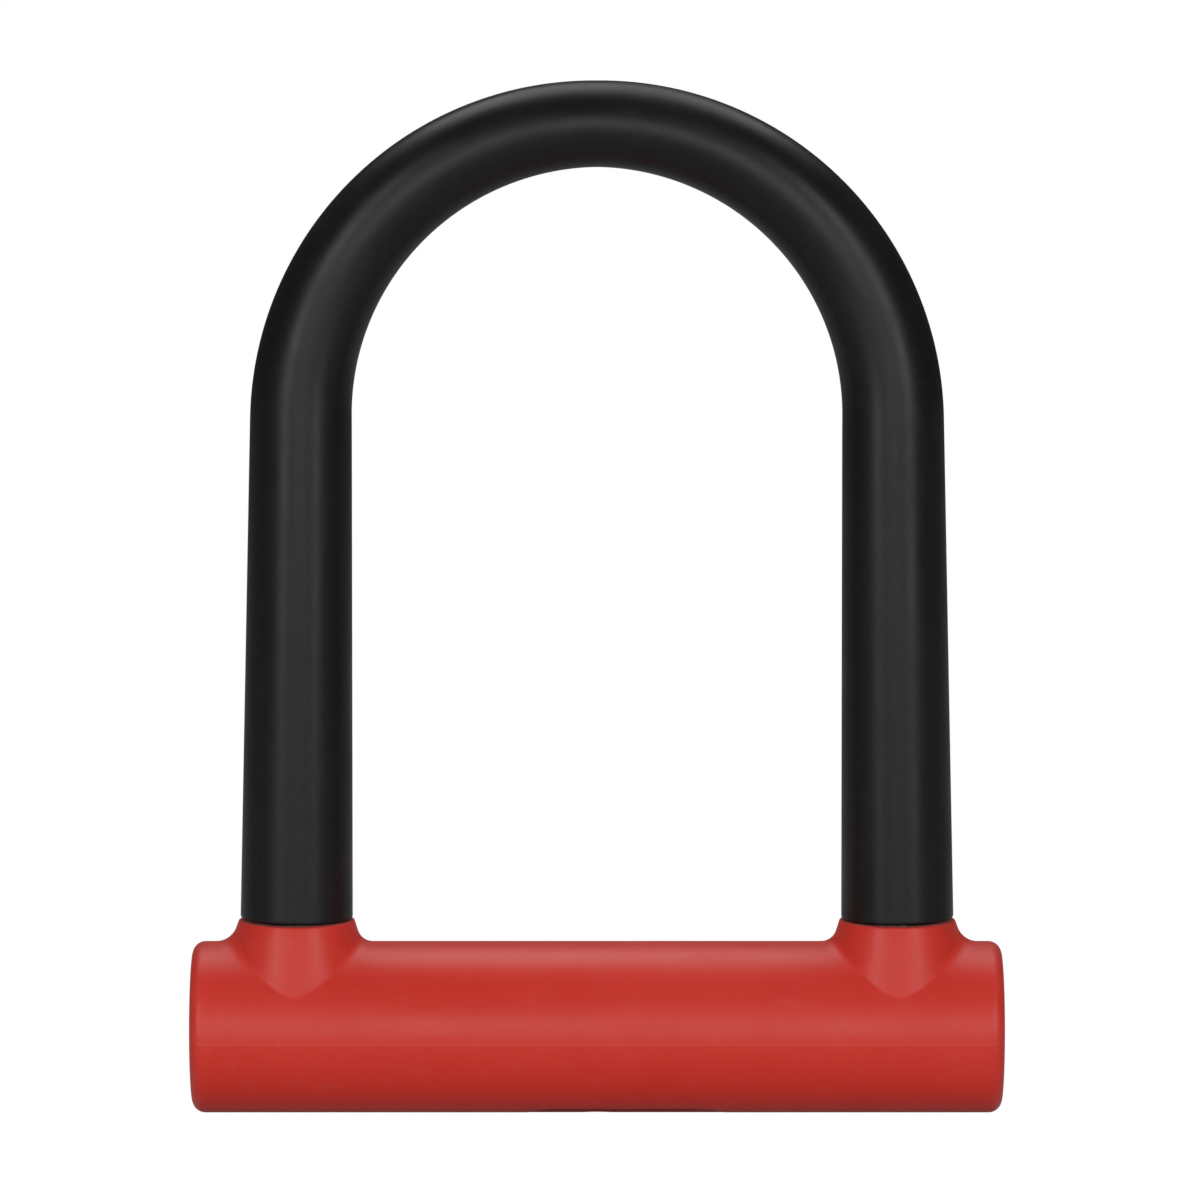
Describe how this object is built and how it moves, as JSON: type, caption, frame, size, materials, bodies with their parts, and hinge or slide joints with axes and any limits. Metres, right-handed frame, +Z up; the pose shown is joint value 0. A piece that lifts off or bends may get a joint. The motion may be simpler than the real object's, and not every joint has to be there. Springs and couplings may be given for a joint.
{
  "type": "u lock",
  "caption": "Bicycle U lock: rubber-coated steel shackle in a rubber-covered crossbar with conical collars, key cylinder underneath and opposed deadbolts.",
  "frame": {"origin": "middle of the crossbar's axis", "axes": "+X along the crossbar, +Z up the legs to the bow, -Y towards the front"},
  "size_m": [0.1652, 0.035, 0.2106],
  "materials": {
    "red_rubber": "matte",
    "black_rubber": "satin",
    "hardened_steel": "satin",
    "plated_steel": "satin",
    "red_nylon": "matte",
    "black_nylon": "matte",
    "white_nylon": "matte",
    "zinc": "cast",
    "brass": "satin",
    "spring_steel": "dark",
    "seal_rubber": "matte"
  },
  "bodies": {
    "crossbar": {"anti_drill_pins": "hardened_steel", "bezel_screws": "hardened_steel", "bolt_carrier_left": "zinc", "bolt_carrier_right": "zinc", "crossbar_cover": "red_rubber", "crossbar_tube": "hardened_steel", "cylinder_housing": "brass", "cylinder_pins": "spring_steel", "end_plug_left": "hardened_steel", "end_plug_right": "hardened_steel", "keyhole_bezel": "red_nylon", "leg_bush_left": "white_nylon", "leg_bush_right": "white_nylon", "leg_socket_left": "hardened_steel", "leg_socket_right": "hardened_steel", "leg_wipers": "seal_rubber", "plug_snap_ring": "spring_steel", "roll_pins": "spring_steel"},
    "plug": {"key_plug": "hardened_steel", "face_disc": "hardened_steel", "detainer_discs": "brass", "disc_spacers": "hardened_steel", "sidebar": "brass", "cam_plate": "plated_steel"},
    "bolt_left": {"deadbolt_left": "plated_steel", "drive_pin_left": "hardened_steel"},
    "bolt_right": {"deadbolt_right": "plated_steel", "drive_pin_right": "hardened_steel"},
    "shackle": {"shackle_core": "plated_steel", "shackle_sleeve": "black_rubber"},
    "shutter": {"keyhole_shutter": "black_nylon"}
  },
  "joints": [
    {"name": "shackle_pull", "type": "slide", "parent": "crossbar", "child": "shackle", "axis": [0, 0, 1], "range_m": [0, 0.06]},
    {"name": "plug_turn", "type": "hinge", "parent": "crossbar", "child": "plug", "pos_m": [0, 0, 0], "axis": [0, 0, 1], "range_deg": [0, 90]},
    {"name": "bolt_left_slide", "type": "slide", "parent": "crossbar", "child": "bolt_left", "axis": [-1, 0, 0], "range_m": [0, 0.0044]},
    {"name": "bolt_right_slide", "type": "slide", "parent": "crossbar", "child": "bolt_right", "axis": [1, 0, 0], "range_m": [0, 0.0044]},
    {"name": "shutter_slide", "type": "slide", "parent": "crossbar", "child": "shutter", "axis": [1, 0, 0], "range_m": [0, 0.011]}
  ],
  "couplings": [
    {"joint": "plug_turn", "follows": "bolt_left_slide", "rad_per_m": 356.99},
    {"joint": "bolt_right_slide", "follows": "bolt_left_slide", "ratio": 1}
  ]
}
